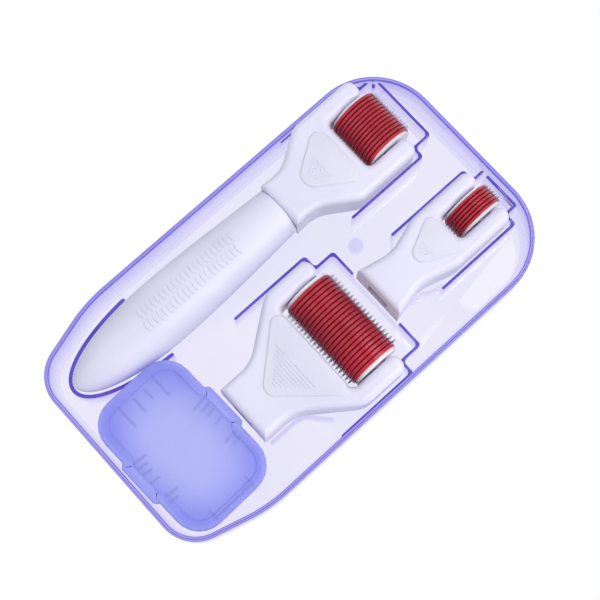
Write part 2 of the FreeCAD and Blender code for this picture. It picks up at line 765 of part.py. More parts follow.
def tank_corners(out):
    """The lid's outline, grown by out: a rounded oblong with a finger tab on each long side."""
    half_x = f"( tank_width / 2 + {out} )"
    half_y = f"( tank_length / 2 + {out} )"
    tab = f"( tab_length / 2 + {out} )"
    tab_x = f"( {half_x} + tab_depth )"
    lead = "tab_depth * 1.5"
    quarter = [
        (tab_x, tab, "tab_corner"),
        (half_x, f"{tab} + {lead}", "tab_corner"),
        (half_x, half_y, f"tank_corner + {out}"),
    ]
    north_east = quarter
    north_west = [(f"-{x}", y, radius) for x, y, radius in reversed(quarter)]
    south_west = [(f"-{x}", f"-( {y} )", radius) for x, y, radius in quarter]
    south_east = [(x, f"-( {y} )", radius) for x, y, radius in reversed(quarter)]
    return north_east + north_west + south_west + south_east


def oblong(name, out, height):
    """A plain rounded oblong, for the cup under the lid."""
    half_x = f"( tank_width / 2 + {out} )"
    half_y = f"( tank_length / 2 + {out} )"
    radius = f"tank_corner + {out}"
    return plan_sketch(name, [
        (half_x, half_y, radius),
        (f"-{half_x}", half_y, radius),
        (f"-{half_x}", f"-{half_y}", radius),
        (half_x, f"-{half_y}", radius),
    ], height)


def make_tank():
    """A tapered cup, open at its top, and the lid whose skirt drops over it."""
    cup_height = "( tank_height - lid_thickness - lid_gap )"
    edge = oblong("cup_edge", "-cup_inset", cup_height)
    cup_outside = extrude("cup_outside", edge, -UP, cup_height, "tank_draft")
    inner_edge = oblong("cup_inner_edge", "-( cup_inset + tank_wall )", cup_height)
    cup_inside = extrude("cup_inside", inner_edge, -UP, f"{cup_height} - tank_wall",
                         "tank_draft")
    cup_walls = cut("cup_walls", cup_outside, cup_inside)
    ribs = common("cup_ribs", [fuse("cup_rib_blocks", cup_rib_blocks()), cup_outside])
    cup = fuse("tank_cup", [cup_walls, ribs])

    top = plan_sketch("lid_outline", tank_corners("0"), "tank_height - lid_thickness")
    plate = extrude("lid_plate", top, UP, "lid_thickness - lid_bevel")
    crown_base = plan_sketch("lid_crown_outline", tank_corners("0"), "tank_height - lid_bevel")
    crown = extrude("lid_crown", crown_base, UP, "lid_bevel", "lid_bevel_angle")
    skirt_edge = oblong("skirt_edge", "0", "tank_height - lid_thickness")
    skirt_outside = extrude("skirt_outside", skirt_edge, -UP, "lid_skirt")
    skirt_inner = oblong("skirt_inner_edge", "-lid_skirt_wall", "tank_height - lid_thickness")
    skirt_inside = extrude("skirt_inside", skirt_inner, -UP, "lid_skirt")
    skirt = cut("lid_skirt_ring", skirt_outside, skirt_inside)
    lid = fuse("tank_lid", [plate, crown, skirt])
    for piece in (cup, lid):
        piece.Placement.Rotation = FreeCAD.Rotation(UP, size("tank_turn"))
        place(piece, "tank_x", "tank_y", "tank_base")
    return [cup, lid]


def cup_rib_blocks():
    """Short ribs on the cup's inner walls: four on three sides, two on the south side."""
    blocks = []
    length = "( tank_rib_length + cup_inset + tank_wall )"
    for number in range(4):
        y = f"( {number} - 1.5 ) * tank_rib_spacing * 0.6 - rib_thickness / 2"
        for side, x in (("east", f"tank_width / 2 - {length}"), ("west", "-tank_width / 2")):
            blocks.append(box(f"cup_{side}_rib_{number}", length, "rib_thickness",
                              "tank_rib_height", x, y, "tank_wall / 2"))
    for side, count, y in (("north", 4, f"tank_length / 2 - {length}"),
                           ("south", 2, "-tank_length / 2")):
        pitch = 1 if count == 4 else 2.4
        for number in range(count):
            x = f"( {number} - {(count - 1) / 2} ) * {pitch} * tank_rib_spacing * 0.85"
            blocks.append(box(f"cup_{side}_rib_{number}", "rib_thickness", length,
                              "tank_rib_height", f"{x} - rib_thickness / 2", y,
                              "tank_wall / 2"))
    return blocks


# ----------------------------------------------------------------------- assembly

def check_document():
    """Stop if any object failed to compute."""
    for thing in doc.Objects:
        if {"Invalid", "Error"} & set(thing.State):
            raise RuntimeError(f"{thing.Name} failed: {thing.State} {thing.getStatusString()}")


def export(piece):
    """Check one piece and write it under its label."""
    shape = piece.Shape
    if shape.isNull() or not shape.isValid() or not shape.Solids:
        raise RuntimeError(f"{piece.Label} has no valid solid")
    shape.exportStep(os.path.join("parts", piece.Label + ".step"))
    print(f"{piece.Label:22s} {len(shape.Solids):3d} solids {shape.Volume:10.1f} mm3")


def main():
    fill_sheet()
    doc.recompute()
    pieces = [make_tray()]
    pieces += make_handle()
    for head in HEADS:
        pieces += [make_fork(head), make_axle(head), make_cap(head, "left"),
                   make_cap(head, "right"), make_rings(head), make_discs(head)]
    pieces += make_tank()
    doc.recompute()
    check_document()
    os.makedirs("parts", exist_ok=True)
    for piece in pieces:
        piece.Label = piece.Name
        export(piece)


main()
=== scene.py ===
"""Looks of the micro-needle roller kit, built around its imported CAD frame.

Lengths in this file are millimetres until a mesh is made; every place comes from the CAD
nodes' boxes. +X runs along the tray towards the rollers and +Z is up.
"""

import functools
import math

import bmesh
import bpy
from mathutils import Matrix, Vector


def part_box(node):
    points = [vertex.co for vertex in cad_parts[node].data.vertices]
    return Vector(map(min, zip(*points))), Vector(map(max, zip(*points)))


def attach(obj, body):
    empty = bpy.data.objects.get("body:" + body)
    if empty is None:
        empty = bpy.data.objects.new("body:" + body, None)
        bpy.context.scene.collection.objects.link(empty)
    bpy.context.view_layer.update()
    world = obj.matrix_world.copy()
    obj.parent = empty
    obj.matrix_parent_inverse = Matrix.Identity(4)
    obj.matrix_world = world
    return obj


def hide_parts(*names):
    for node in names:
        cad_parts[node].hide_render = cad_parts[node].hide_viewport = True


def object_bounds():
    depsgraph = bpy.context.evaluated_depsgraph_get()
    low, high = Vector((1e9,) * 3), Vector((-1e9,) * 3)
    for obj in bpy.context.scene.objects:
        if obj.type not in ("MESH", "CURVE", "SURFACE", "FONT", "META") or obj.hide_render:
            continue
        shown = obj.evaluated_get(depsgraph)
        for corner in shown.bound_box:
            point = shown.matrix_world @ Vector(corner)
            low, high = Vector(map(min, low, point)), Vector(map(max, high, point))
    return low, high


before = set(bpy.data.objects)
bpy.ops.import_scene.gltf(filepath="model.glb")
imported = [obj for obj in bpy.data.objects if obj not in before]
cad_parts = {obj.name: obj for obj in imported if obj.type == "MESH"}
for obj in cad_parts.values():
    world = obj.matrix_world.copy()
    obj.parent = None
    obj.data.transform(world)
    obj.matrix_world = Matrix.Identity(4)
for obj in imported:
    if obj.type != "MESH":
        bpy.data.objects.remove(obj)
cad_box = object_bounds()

MM = 0.001
HEADS = ("face", "body", "eye")


# ------------------------------------------------------------------------ outlines

@functools.cache
def node_box(node):
    """A CAD node's lowest and highest corners, in millimetres."""
    low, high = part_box(node)
    return Vector(low) / MM, Vector(high) / MM


def rounded(corners, inset=0.0, steps=8):
    """Points of a closed outline (x, y, radius), wound left, moved inwards by inset."""
    count = len(corners)
    points = []
    for i, (x, y, radius) in enumerate(corners):
        before = Vector(corners[i - 1][:2])
        here = Vector((x, y))
        after = Vector(corners[(i + 1) % count][:2])
        into = (here - before).normalized()
        out = (after - here).normalized()
        turn = into.x * out.y - into.y * out.x
        inward = Vector((-into.y, into.x)), Vector((-out.y, out.x))
        half = math.acos(max(-1.0, min(1.0, into.dot(out)))) / 2
        corner = here + (inward[0] + inward[1]).normalized() * (inset / math.cos(half))
        size = radius - inset if turn > 0 else radius + inset
        size = max(size, 0.02)
        reach = size * math.tan(half)
        side = 1 if turn > 0 else -1
        centre = corner - into * reach + inward[0] * size * side
        spoke = -inward[0] * size * side
        for step in range(steps + 1):
            angle = 2 * half * side * step / steps
            c, s = math.cos(angle), math.sin(angle)
            points.append(centre + Vector((spoke.x * c - spoke.y * s,
                                           spoke.x * s + spoke.y * c)))
    return points


def strip_corners(path, thickness, radius, tip=None):
    """Outline of a straight-sided strip along path points (x, y), wound left."""
    tip = thickness * 0.45 if tip is None else tip
    half = thickness / 2
    count = len(path)
    right, left = [], []
    for i, point in enumerate(path):
        here = Vector(point)
        into = (here - Vector(path[i - 1])).normalized() if i else None
        out = (Vector(path[i + 1]) - here).normalized() if i < count - 1 else None
        if into is None or out is None:
            along = out or into
            side = Vector((along.y, -along.x)) * half
            bend = tip
        else:
            normal = (Vector((into.y, -into.x)) + Vector((out.y, -out.x))).normalized()
            side = normal * (half / math.cos(math.acos(max(-1, min(1, into.dot(out)))) / 2))
            bend = radius
        right.append((here + side, bend))
        left.append((here - side, bend))
    ring = right + left[::-1]
    return [(p.x, p.y, bend) for p, bend in ring]


def mesh_object(name, verts, faces, smooth=35.0):
    """A mesh in metres from millimetre points; edges sharper than smooth degrees stay crisp."""
    mesh = bpy.data.meshes.new(name)
    mesh.from_pydata([tuple(c * MM for c in v) for v in verts], [], faces)
    tidy_up = bmesh.new()
    tidy_up.from_mesh(mesh)
    bmesh.ops.remove_doubles(tidy_up, verts=tidy_up.verts, dist=1e-7)
    bmesh.ops.recalc_face_normals(tidy_up, faces=tidy_up.faces)
    tidy_up.to_mesh(mesh)
    tidy_up.free()
    piece = bpy.data.objects.new(name, mesh)
    bpy.context.scene.collection.objects.link(piece)
    finish_shading(piece, smooth)
    return piece


def finish_shading(piece, smooth=35.0):
    piece.data.shade_smooth()
    piece.data.set_sharp_from_angle(angle=math.radians(smooth))


def loops_mesh(name, loops, caps=(True, True), closed=False, smooth=35.0):
    """Quads between equal-length closed loops of points, with the end loops capped."""
    count = len(loops[0])
    verts = [tuple(p) for loop in loops for p in loop]
    faces = []
    rows = len(loops) if closed else len(loops) - 1
    for row in range(rows):
        a, b = row * count, (row + 1) % len(loops) * count
        for i in range(count):
            j = (i + 1) % count
            faces.append((a + i, a + j, b + j, b + i))
    if caps[0]:
        faces.append(tuple(reversed(range(count))))
    if caps[1]:
        faces.append(tuple(range((len(loops) - 1) * count, len(loops) * count)))
    return mesh_object(name, verts, faces, smooth)


def swept(name, corners, profile, caps=(True, True), closed=False, steps=8, smooth=35.0):
    """A solid whose outline follows a profile of (inset, z)."""
    loops = [[(p.x, p.y, z) for p in rounded(corners, inset, steps)] for inset, z in profile]
    return loops_mesh(name, loops, caps, closed, smooth)


def quarter(start_inset, start_z, radius_in, radius_z, steps=5):
    """Profile points of a rounded edge that rises by radius_z while it goes in by radius_in."""
    points = []
    for step in range(steps + 1):
        angle = math.pi / 2 * step / steps
        points.append((start_inset + radius_in * (1 - math.cos(angle)),
                       start_z + radius_z * math.sin(angle)))
    return points


def join(name, pieces):
    """One object from several."""
    with bpy.context.temp_override(active_object=pieces[0],
                                   selected_editable_objects=pieces):
        bpy.ops.object.join()
    pieces[0].name = name
    return pieces[0]


def lathe(name, profile, place, steps=96, smooth=35.0):
    """A turned piece about an axis along Y; profile is (radius, y) from end to end."""
    loops = []
    for radius, y in profile:
        loops.append([(place.x + radius * math.cos(2 * math.pi * i / steps), place.y + y,
                       place.z + radius * math.sin(2 * math.pi * i / steps))
                      for i in range(steps)])
    return loops_mesh(name, loops, smooth=smooth)


# ------------------------------------------------------------------------ materials

class Nodes:
    """A material's node tree, with short calls for the few nodes used here."""

    def __init__(self, name):
        self.material = bpy.data.materials.new(name)
        self.material.use_nodes = True
        self.tree = self.material.node_tree
        self.tree.nodes.clear()
        self.output = self.tree.nodes.new("ShaderNodeOutputMaterial")
        self.shader = self.tree.nodes.new("ShaderNodeBsdfPrincipled")
        self.link(self.shader.outputs["BSDF"], self.output.inputs["Surface"])
        self.place = self.tree.nodes.new("ShaderNodeTexCoord").outputs["Object"]

    def link(self, source, target):
        self.tree.links.new(source, target)

    def put(self, target, value):
        """Link a socket or set a constant."""
        if isinstance(value, bpy.types.NodeSocket):
            self.link(value, target)
        elif isinstance(value, tuple) and len(value) == 3 and target.type == "RGBA":
            target.default_value = (*value, 1.0)
        else:
            target.default_value = value

    def math(self, operation, a, b=0.0, clamp=False):
        node = self.tree.nodes.new("ShaderNodeMath")
        node.operation = operation
        node.use_clamp = clamp
        self.put(node.inputs[0], a)
        self.put(node.inputs[1], b)
        return node.outputs[0]

    def step(self, value, start, end):
        """Rises smoothly from 0 at start to 1 at end."""
        node = self.tree.nodes.new("ShaderNodeMapRange")
        node.interpolation_type = "SMOOTHSTEP"
        self.put(node.inputs["Value"], value)
        node.inputs["From Min"].default_value = min(start, end)
        node.inputs["From Max"].default_value = max(start, end)
        node.inputs["To Min"].default_value = 0.0 if start < end else 1.0
        node.inputs["To Max"].default_value = 1.0 if start < end else 0.0
        return node.outputs["Result"]

    def mix(self, factor, a, b):
        node = self.tree.nodes.new("ShaderNodeMix")
        node.data_type = "RGBA"
        self.put(node.inputs["Factor"], factor)
        self.put(node.inputs["A"], a)
        self.put(node.inputs["B"], b)
        return node.outputs["Result"]

    def noise(self, scale, detail=3.0, stretch=None, seed=0.0):
        where = self.place
        if stretch:
            mapping = self.tree.nodes.new("ShaderNodeMapping")
            self.link(where, mapping.inputs["Vector"])
            mapping.inputs["Scale"].default_value = stretch
            where = mapping.outputs["Vector"]
        node = self.tree.nodes.new("ShaderNodeTexNoise")
        node.noise_dimensions = "4D"
        self.link(where, node.inputs["Vector"])
        node.inputs["W"].default_value = seed
        node.inputs["Scale"].default_value = scale
        node.inputs["Detail"].default_value = detail
        return node.outputs["Fac"]

    def axis(self, source, letter):
        node = self.tree.nodes.new("ShaderNodeSeparateXYZ")
        self.link(source, node.inputs[0])
        return node.outputs[letter]

    def height(self):
        return self.math("DIVIDE", self.axis(self.place, "Z"), MM)

    def facing_up(self):
        geometry = self.tree.nodes.new("ShaderNodeTexCoord")
        return self.axis(geometry.outputs["Normal"], "Z")

    def bump(self, height, strength, distance=0.0001):
        node = self.tree.nodes.new("ShaderNodeBump")
        self.link(height, node.inputs["Height"])
        node.inputs["Strength"].default_value = strength
        node.inputs["Distance"].default_value = distance
        self.link(node.outputs["Normal"], self.shader.inputs["Normal"])

    def set(self, **values):
        for key, value in values.items():
            self.put(self.shader.inputs[key.replace("_", " ")], value)


def srgb(red, green, blue):
    """A screen colour 0-255 as linear light."""
    return tuple(((c / 255 + 0.055) / 1.055) ** 2.4 if c > 10 else c / 255 / 12.92
                 for c in (red, green, blue))


def moulded(name, light, dark, roughness=0.35, grain=0.08, scatter=0.0, coat=0.0):
    """Moulded plastic: faint flow clouds, a fine orange-peel grain and uneven gloss."""
    m = Nodes(name)
    cloud = m.step(m.noise(38.0, 2.0), 0.3, 0.7)
    m.set(Base_Color=m.mix(cloud, light, dark),
          Roughness=m.math("MULTIPLY_ADD", m.noise(900.0, 2.0), 0.12))
    m.shader.inputs["Roughness"].links[0].from_node.inputs[2].default_value = roughness - 0.06
    m.bump(m.noise(2600.0, 3.0), grain)
    m.shader.inputs["Coat Weight"].default_value = coat
    m.shader.inputs["Coat Roughness"].default_value = 0.12
    if scatter:
        m.shader.inputs["Subsurface Weight"].default_value = scatter
        m.shader.inputs["Subsurface Radius"].default_value = (1.0, 0.85, 1.0)
        m.shader.inputs["Subsurface Scale"].default_value = 0.002
    return m.material


def see_through(m, tint, absorb, density, glass=1.0, bend=1.3):
    """Turns a node set-up into tinted clear plastic that lets lamp light through."""
    m.shader.inputs["Transmission Weight"].default_value = glass
    m.shader.inputs["IOR"].default_value = bend
    clear = m.tree.nodes.new("ShaderNodeBsdfTransparent")
    clear.inputs["Color"].default_value = (*tint, 1.0)
    blend = m.tree.nodes.new("ShaderNodeMixShader")
    path = m.tree.nodes.new("ShaderNodeLightPath")
    m.link(path.outputs["Is Shadow Ray"], blend.inputs["Fac"])
    m.link(m.shader.outputs["BSDF"], blend.inputs[1])
    m.link(clear.outputs["BSDF"], blend.inputs[2])
    m.link(blend.outputs["Shader"], m.output.inputs["Surface"])
    if density:
        volume = m.tree.nodes.new("ShaderNodeVolumeAbsorption")
        volume.inputs["Color"].default_value = (*absorb, 1.0)
        volume.inputs["Density"].default_value = density
        m.link(volume.outputs["Volume"], m.output.inputs["Volume"])


def tray_plastic():
    """Tinted clear plastic: pale where the light gets through, with painted shade along every edge:
    navy rib tops, a darker violet rim land and navy upright rim faces.
    """
    m = Nodes("tray_violet_clear")
    height = m.height()
    up = m.facing_up()
    flat = m.step(up, 0.35, 0.75)
    cloud = m.step(m.noise(22.0, 2.0), 0.3, 0.7)
    body = m.mix(cloud, (0.885, 0.87, 0.975), (0.85, 0.835, 0.965))
    # Painted shade: the navy rib tops, the darker violet rim land and the navy upright rim faces
    # stand in for light carried along the thin clear plastic's edges.
    rib_top_shade = m.mix(m.step(m.noise(60.0, 2.0), 0.35, 0.65), srgb(38, 26, 140), srgb(58, 46, 165))
    rim_land_shade = m.mix(cloud, srgb(206, 201, 244), srgb(188, 182, 238))
    rim_edge_shade = srgb(92, 82, 200)
    rim = m.mix(m.step(up, 0.96, 0.995), rim_edge_shade, rim_land_shade)
    # Above the ribs' lower height the painted edge shade takes over from the pale body colour.
    high_part = m.mix(m.step(height, 18.2, 18.8), m.mix(flat, body, rib_top_shade), rim)
    m.set(Base_Color=m.mix(m.step(height, 12.6, 16.0), body, high_part), Roughness=0.02)
    m.bump(m.noise(1800.0, 2.0), 0.02)
    see_through(m, (0.93, 0.92, 0.985), (0.70, 0.66, 0.95), 90.0)
    return m.material


def frosted(name, light, dark, glass=0.5, density=16.0, roughness=0.3):
    """Clouded blue plastic, paler towards its middle; the darkening towards the outline is painted
    shade where one looks down through the tank's walls.
    """
    m = Nodes(name)
    low, high = node_box("tank_lid")
    centre, half = (low + high) / 2, (high - low) / 2
    across = m.math("DIVIDE", m.math("SUBTRACT", m.axis(m.place, "X"), centre.x * MM),
                    half.x * MM)
    along = m.math("DIVIDE", m.math("SUBTRACT", m.axis(m.place, "Y"), centre.y * MM),
                   half.y * MM)
    spread = m.math("ADD", m.math("MULTIPLY", across, across), m.math("MULTIPLY", along, along))
    cloud = m.math("MULTIPLY", m.noise(60.0, 3.0), 0.5)
    # Painted shade: darker towards the outline, mixed with random cloud.
    m.set(Base_Color=m.mix(m.step(m.math("ADD", spread, cloud), 0.3, 1.3), light, dark),
          Roughness=roughness)
    m.bump(m.noise(5200.0, 2.0), 0.12)
    see_through(m, (0.9, 0.9, 0.99), (0.6, 0.62, 0.97), density, glass=glass)
    return m.material


def steel(name, light, dark):
    m = Nodes(name)
    streak = m.step(m.noise(300.0, 3.0, stretch=(1.0, 8.0, 1.0)), 0.3, 0.7)
    m.set(Base_Color=m.mix(streak, light, dark), Roughness=0.28, Metallic=1.0)
    m.bump(m.noise(3000.0, 2.0), 0.05)
    return m.material


def needle_steel():
    """Fine steel for the needles; the discs between the rings get the dark red disc finish instead,
    as painted shade and painted red reflection from the rings.
    """
    return steel("needle_steel", srgb(168, 166, 178), srgb(128, 126, 140))


FINISHES = {
    "tray_plastic": tray_plastic(),
    "tank_plastic": frosted("tank_clear_frosted", srgb(188, 192, 246), srgb(168, 172, 242)),
    "frosted_plastic": frosted("lid_frosted", srgb(206, 210, 250), srgb(170, 176, 246)),
    # Painted shade: the lid's ribs are coloured deep blue for the darker look through the thicker
    # plastic where they sit.
    "lid_rib": frosted("lid_rib", srgb(84, 88, 206), srgb(70, 74, 196), glass=0.2),
    "white_plastic": moulded("white_plastic", srgb(228, 226, 246), srgb(221, 219, 241),
                             roughness=0.34, scatter=0.15),
    "cap_plastic": moulded("cap_plastic", srgb(244, 242, 248), srgb(234, 232, 242),
                           roughness=0.4, scatter=0.2),
    "red_plastic": moulded("red_plastic", srgb(196, 0, 44), srgb(166, 0, 34),
                           roughness=0.36, coat=0.6),
    "needle_steel": needle_steel(),
    # Painted shade: the discs' steel is coloured dark red for the shade in the narrow gaps between
    # the red rings and their painted red reflection.
    "disc_steel": steel("disc_steel", srgb(120, 12, 30), srgb(84, 6, 18)),
    "axle_steel": steel("axle_steel", srgb(200, 200, 210), srgb(170, 170, 184)),
}

for name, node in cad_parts.items():
    for place, slot in enumerate(node.material_slots):
        wanted = slot.material.name.split(".")[0] if slot.material else "white_plastic"
        slot.material = FINISHES.get(wanted, FINISHES["white_plastic"])


# ------------------------------------------------------------------------ drums

def needle_discs(head):
    """Thin discs between the red rings, each with a crown of pointed needles."""
    low, high = node_box(f"{head}_needle_discs")
    ring_low, ring_high = node_box(f"{head}_spacer_rings")
    centre = (ring_low + ring_high) / 2
    ring = (ring_high.z - ring_low.z) / 2
    tip = (high.z - low.z) / 2
    count = {"face": 12, "body": 20, "eye": 5}[head]
    thickness = 0.28
    pitch = (high.y - low.y - thickness) / (count - 1)
    verts, faces = [], []
    needles = 40
    for disc in range(count):
        y = low.y + thickness / 2 + pitch * disc
        shift = math.pi / needles * (disc % 2)
        start = len(verts)
        steps = 48
        for side in (-thickness * 0.35, thickness * 0.35):
            for i in range(steps):
                angle = 2 * math.pi * i / steps
                verts.append((centre.x + (ring - 0.25) * math.cos(angle), y + side,
                              centre.z + (ring - 0.25) * math.sin(angle)))
        for i in range(steps):
            j = (i + 1) % steps
            faces.append((start + i, start + j, start + steps + j, start + steps + i))
        for i in range(needles):
            angle = 2 * math.pi * i / needles + shift
            out = Vector((math.cos(angle), 0, math.sin(angle)))
            across = Vector((-math.sin(angle), 0, math.cos(angle)))
            foot = Vector((centre.x, y, centre.z)) + out * (ring - 0.4)
            shoulder = Vector((centre.x, y, centre.z)) + out * (ring + (tip - ring) * 0.55)
            point = Vector((centre.x, y, centre.z)) + out * tip
            base = len(verts)
            for spot, width in ((foot, 0.13), (shoulder, 0.1)):
                for turn in range(4):
                    bend = math.pi / 2 * turn + math.pi / 4
                    verts.append(tuple(spot + across * width * math.cos(bend)
                                       + Vector((0, width * math.sin(bend), 0))))
            verts.append(tuple(point))
            for turn in range(4):
                nxt = (turn + 1) % 4
                faces.append((base + turn, base + nxt, base + 4 + nxt, base + 4 + turn))
                faces.append((base + 4 + turn, base + 4 + nxt, base + 8))
    piece = mesh_object(f"{head}_needle_crowns", verts, faces, smooth=40.0)
    piece.data.materials.append(FINISHES["needle_steel"])
    piece.data.materials.append(FINISHES["disc_steel"])
    # Faces inside the ring radius belong to the discs and take the dark red painted-shade finish.
    for face in piece.data.polygons:
        middle = Vector((face.center.x / MM - centre.x, 0, face.center.z / MM - centre.z))
        face.material_index = 1 if middle.length < ring - 0.05 else 0
    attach(piece, f"{head}_roller")
    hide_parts(f"{head}_needle_discs")


for head in HEADS:
    needle_discs(head)


# ------------------------------------------------------------------------ tray

RIM_LAND = 1.7          # from the outside edge to the inside wall, at the rim
REBATE = (0.7, 1.1)
STEP_X = (-23.8, -20.5)   # the floor slopes between these
STEP_DROP = 1.2
RAISED_FLOOR = 6.0
RIB_TOP = 17.5
LOW_RIB_TOP = 10.8
RIB = 1.15
SKIRT = 1.8


def finish(piece, slot, body, *replaced):
    piece.data.materials.append(FINISHES[slot])
    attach(piece, body)
    if replaced:
        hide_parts(*replaced)
    return piece


def tray_outline():
    """The tray's plan at its rim: round corners at the rollers' end, swept-in ones at the tail."""
    low, high = node_box("case_tray")
    half = high.y - 0.17
    right = high.x - 0.17
    tail = half - 8.9
    return [(right, -half, 26.0), (right, half, 26.0), (right - 143.2, half, 60.0),
            (-right, tail, 15.0), (-right, -tail, 15.0), (right - 143.2, -half, 60.0)]


def tray_shell():
    low, high = node_box("case_tray")
    rim = high.z
    draft = 0.17
    profile = [(SKIRT - draft, 0.0), (-draft + 0.3, 0.0), (-draft, 0.3)]
    profile += quarter(0.0, rim - REBATE[1] - 0.3, 0.3, 0.3, 3)
    profile += [(REBATE[0] - 0.1, rim - REBATE[1]), (REBATE[0], rim - REBATE[1] + 0.1)]
    profile += quarter(REBATE[0], rim - 0.3, 0.3, 0.3, 3)
    lip = quarter(0.0, 0.0, 0.3, 0.3, 3)
    profile += [(RIM_LAND - 0.3 + (0.3 - i), rim - 0.3 + z) for i, z in reversed(lip)]
    slope = math.tan(math.radians(4.0))
    foot = RIM_LAND + (rim - RAISED_FLOOR) * slope
    bend = 1.4
    for step in range(7):
        angle = math.pi / 2 * step / 6
        profile.append((foot - 0.1 + bend * (1 - math.cos(angle)),
                        RAISED_FLOOR + bend * (1 - math.sin(angle))))
    under = [(SKIRT - draft, 0.0), (SKIRT - 0.05, RAISED_FLOOR - SKIRT - 1.0),
             (SKIRT + 0.95, RAISED_FLOOR - SKIRT)]
    loops_profile = list(reversed(under)) + profile[1:]
    piece = swept("tray_shell", tray_outline(), loops_profile, steps=14, smooth=32.0)
    shape = bmesh.new()
    shape.from_mesh(piece.data)
    for x in STEP_X:
        every = shape.verts[:] + shape.edges[:] + shape.faces[:]
        bmesh.ops.bisect_plane(shape, geom=every, plane_co=(x * MM, 0, 0),
                               plane_no=(1, 0, 0), dist=1e-7)
    for vert in shape.verts:
        x, z = vert.co.x / MM, vert.co.z / MM
        if 3.0 < z < RAISED_FLOOR + bend + 0.3:
            share = min(1.0, max(0.0, (STEP_X[1] - x) / (STEP_X[1] - STEP_X[0])))
            vert.co.z -= STEP_DROP * share * MM
    shape.to_mesh(piece.data)
    shape.free()
    finish_shading(piece, 32.0)
    return piece


def rib(name, path, top=RIB_TOP, thickness=RIB, radius=1.5, base=4.4, tip=None, steps=6):
    """An upright rib with a rounded top edge and rounded corners along its path."""
    corners = strip_corners(path, thickness, radius, tip)
    edge = min(0.32, thickness * 0.28)
    profile = [(-0.12, base)] + quarter(0.0, top - edge, edge, edge, 4)
    return swept(name, corners, profile, steps=steps, smooth=40.0)


POCKETS = {
    # left, shoulder and right of the pocket from the axle; gaps beside the arms and the drum
    "face": (-27.15, 7.75, 15.45, 0.9, 4.25),
    "body": (-25.7, 8.2, 17.0, 1.9, 3.65),
    "eye": (-27.3, 8.8, 14.3, 1.4, 3.45),
}


def head_places(head):
    """Axle x, centre y, half width over the arms, half width over the drum's caps."""
    low, high = node_box(f"{head}_spacer_rings")
    arms_low, arms_high = node_box(f"{head}_head_fork")
    cap_low, _ = node_box(f"{head}_end_cap_left")
    _, cap_high = node_box(f"{head}_end_cap_right")
    other_low, other_high = node_box(f"{head}_end_cap_left")
    drum = max(cap_high.y, other_high.y) - (low.y + high.y) / 2
    return ((low.x + high.x) / 2, (arms_low.y + arms_high.y) / 2,
            (arms_high.y - arms_low.y) / 2, drum)


def pocket_ribs():
    ribs = []
    eye_y = head_places("eye")[1]
    for head in HEADS:
        axle, middle, arms, drum = head_places(head)
        left, shoulder, right, arm_gap, drum_gap = POCKETS[head]
        wide, narrow = arms + arm_gap, drum + drum_gap
        left, shoulder, right = axle + left, axle + shoulder, axle + right
        north = [(left, middle + wide), (shoulder, middle + wide),
                 (shoulder, middle + narrow), (right, middle + narrow)]
        south = [(x, 2 * middle - y) for x, y in north]
        if head == "face":
            beside = middle + arms + 0.65
            ribs.append(rib("face_wall_rib", [(left, beside), (shoulder, beside)],
                            thickness=0.7, base=12.3))
            ribs.append(rib("face_pocket_north", [(shoulder, beside), (shoulder, middle + narrow),
                                                  (right - 2.9, middle + narrow)]))
            ribs.append(rib("face_pocket_south", [(right, middle + narrow - 2.7)] + south[::-1]))
            clip = [(right - 1.6, middle + narrow - 1.9), (right - 3.0, middle + narrow - 3.3)]
            ribs.append(rib("face_clip", clip, thickness=1.4))
        elif head == "body":
            gap = 12.1
            ribs.append(rib("body_pocket_north", north + [(right, eye_y + gap)]))
            ribs.append(rib("body_pocket_south", [(right, eye_y - gap)] + south[::-1]))
            ribs.append(rib("body_pocket_bridge", [(right, eye_y + gap), (right, eye_y - gap)],
                            top=LOW_RIB_TOP))
        else:
            ribs.append(rib("eye_pocket_north", north))
            ribs.append(rib("eye_pocket_south", south[::-1]))
            stop = axle + 13.9
            ribs.append(rib("eye_pocket_stop", [(stop, middle + narrow - 2.2),
                                                (stop, middle - narrow)], thickness=1.3))
    return ribs


def low_guides():
    """Low pale ribs that carry the necks, and the short ribs along the flares."""
    guides = []
    axle, middle, arms, drum = head_places("body")
    neck = 12.9
    for side in (1, -1):
        path = [(axle - 45.5, middle + side * neck), (axle - 33.5, middle + side * neck),
                (axle - 31.0, middle + side * (neck + 0.9))]
        guides.append(rib(f"body_guide_{side + 1}", path, top=13.0))
    path = [(axle - 31.7, middle - 12.4), (axle - 28.6, middle - 15.4),
            (axle - 25.9, middle - 18.6), (axle - 23.1, middle - 21.6)]
    guides.append(rib("body_flare_rib", path, top=13.0, thickness=1.3, radius=6.0))
    axle, middle, arms, drum = head_places("eye")
    path = [(axle - 38.0, middle - 8.9), (axle - 31.3, middle - 9.1)]
    guides.append(rib("eye_guide_south", path, top=LOW_RIB_TOP))
    path = [(axle - 32.0, middle - 9.2), (axle - 29.2, middle - 10.9),
            (axle - 24.5, middle - 12.0)]
    guides.append(rib("eye_flare_rib", path, top=LOW_RIB_TOP, radius=5.0, thickness=1.3))
    path = [(axle - 26.6, middle + 13.3), (axle - 29.5, middle + 9.9), (axle - 38.5, middle + 9.8)]
    guides.append(rib("eye_guide_north", path, top=LOW_RIB_TOP, radius=1.5))
    return guides


def handle_width(along):
    """The handle's half width at a distance from the seam."""
    palm, end, widest = 54.8, 96.3, 12.3
    if along >= palm:
        share = min(1.0, (along - palm) / (end - palm))
        return widest * math.sqrt(max(0.0, 1 - share ** 2.1))
    seam, rise = 9.85, 0.052
    t = along / palm
    basis = (2 * t ** 3 - 3 * t ** 2 + 1, t ** 3 - 2 * t ** 2 + t, -2 * t ** 3 + 3 * t ** 2)
    return basis[0] * seam + basis[1] * rise * palm + basis[2] * widest


def handle_place():
    """Seam x, centre y and axis height of the handle."""
    low, high = node_box("handle_upper_shell")
    under_low, _ = node_box("handle_lower_shell")
    return high.x, (low.y + high.y) / 2, (under_low.z + high.z) / 2


